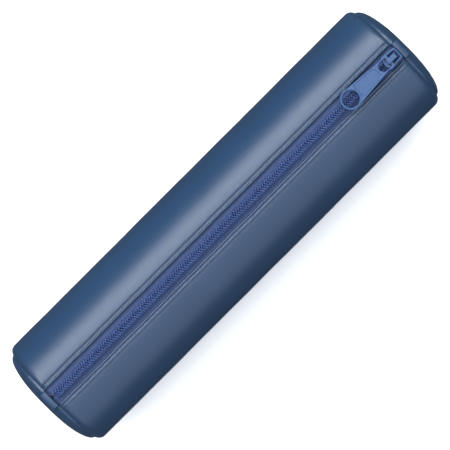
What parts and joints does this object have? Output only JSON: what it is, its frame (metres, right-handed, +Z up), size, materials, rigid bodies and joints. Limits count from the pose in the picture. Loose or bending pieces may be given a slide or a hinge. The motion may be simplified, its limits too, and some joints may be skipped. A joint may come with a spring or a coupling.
{
  "type": "pencil case",
  "caption": "Round zippered pencil case in navy leather, a stiff tube with padded domed end caps, a coil zip along the top between two stitched lips, and a ring-ended pull tab.",
  "frame": {"origin": "under the middle of the case, on the surface it rests on", "axes": "+X along the case towards the closed end of the zip, +Z up through the zip, +Y towards the back side"},
  "size_m": [0.2202, 0.0555, 0.0591],
  "materials": {
    "panel_leather": "smooth navy leather, fine grain, satin",
    "cap_leather": "smooth navy leather over padding, satin",
    "tab_leather": "smooth navy leather, folded tab",
    "stiffener_board": "thin flexible board, hidden",
    "lining_cloth": "plain woven navy lining",
    "padding_felt": "felted padding, hidden",
    "end_card": "pressed card, hidden",
    "binding_tape": "woven binding tape",
    "seam_thread": "twisted polyester thread",
    "lip_thread": "twisted polyester thread, grey-blue",
    "zip_tape": "herringbone woven zip tape",
    "zip_coil": "nylon monofilament, slight sheen",
    "coil_cord": "braided filler cord",
    "slider_paint": "die cast, painted navy, satin with rubbed edges",
    "spring_steel": "thin spring leaf"
  },
  "bodies": {
    "case": {"leather_bottom": "panel_leather", "stiffener_bottom": "stiffener_board", "lining_bottom": "lining_cloth", "end_cap_left": "cap_leather", "end_cap_right": "cap_leather", "end_padding_left": "padding_felt", "end_padding_right": "padding_felt", "end_board_left": "end_card", "end_board_right": "end_card", "end_lining_left": "lining_cloth", "end_lining_right": "lining_cloth", "end_tab_left": "tab_leather", "end_tab_right": "tab_leather", "seam_binding_left": "binding_tape", "seam_binding_right": "binding_tape", "end_seam_left": "seam_thread", "end_seam_right": "seam_thread"},
    "front_side": {"leather_front": "panel_leather", "stiffener_front": "stiffener_board", "lining_front": "lining_cloth", "zip_tape_front": "zip_tape", "zip_coil_front": "zip_coil", "coil_cord_front": "coil_cord", "coil_thread_front": "seam_thread", "lip_stitching_front": "lip_thread"},
    "back_side": {"leather_back": "panel_leather", "stiffener_back": "stiffener_board", "lining_back": "lining_cloth", "zip_tape_back": "zip_tape", "zip_coil_back": "zip_coil", "coil_cord_back": "coil_cord", "coil_thread_back": "seam_thread", "lip_stitching_back": "lip_thread"},
    "slider": {"slider_body": "slider_paint", "slider_crown": "slider_paint", "lock_spring": "spring_steel"},
    "pull": {"pull_tab": "slider_paint"}
  },
  "joints": [
    {"name": "slider_slide", "type": "slide", "parent": "case", "child": "slider", "axis": [-1, 0, 0], "range_m": [0, 0.195]},
    {"name": "front_side_bend", "type": "hinge", "parent": "case", "child": "front_side", "pos_m": [0, -0.01869, 0.00826], "axis": [1, 0, 0], "range_deg": [0, 12.05], "deforming": ["zip_tape_front", "zip_coil_front", "coil_cord_front", "coil_thread_front"]},
    {"name": "back_side_bend", "type": "hinge", "parent": "case", "child": "back_side", "pos_m": [0, 0.01869, 0.00826], "axis": [-1, 0, 0], "range_deg": [0, 12.05], "deforming": ["zip_tape_back", "zip_coil_back", "coil_cord_back", "coil_thread_back"]},
    {"name": "pull_hinge", "type": "hinge", "parent": "slider", "child": "pull", "pos_m": [0.0989, 0, 0.0573], "axis": [0, 1, 0], "range_deg": [0, 174]}
  ],
  "couplings": [
    {"joint": "front_side_bend", "follows": "slider_slide", "rad_per_m": 1.074},
    {"joint": "back_side_bend", "follows": "slider_slide", "rad_per_m": 1.074}
  ]
}
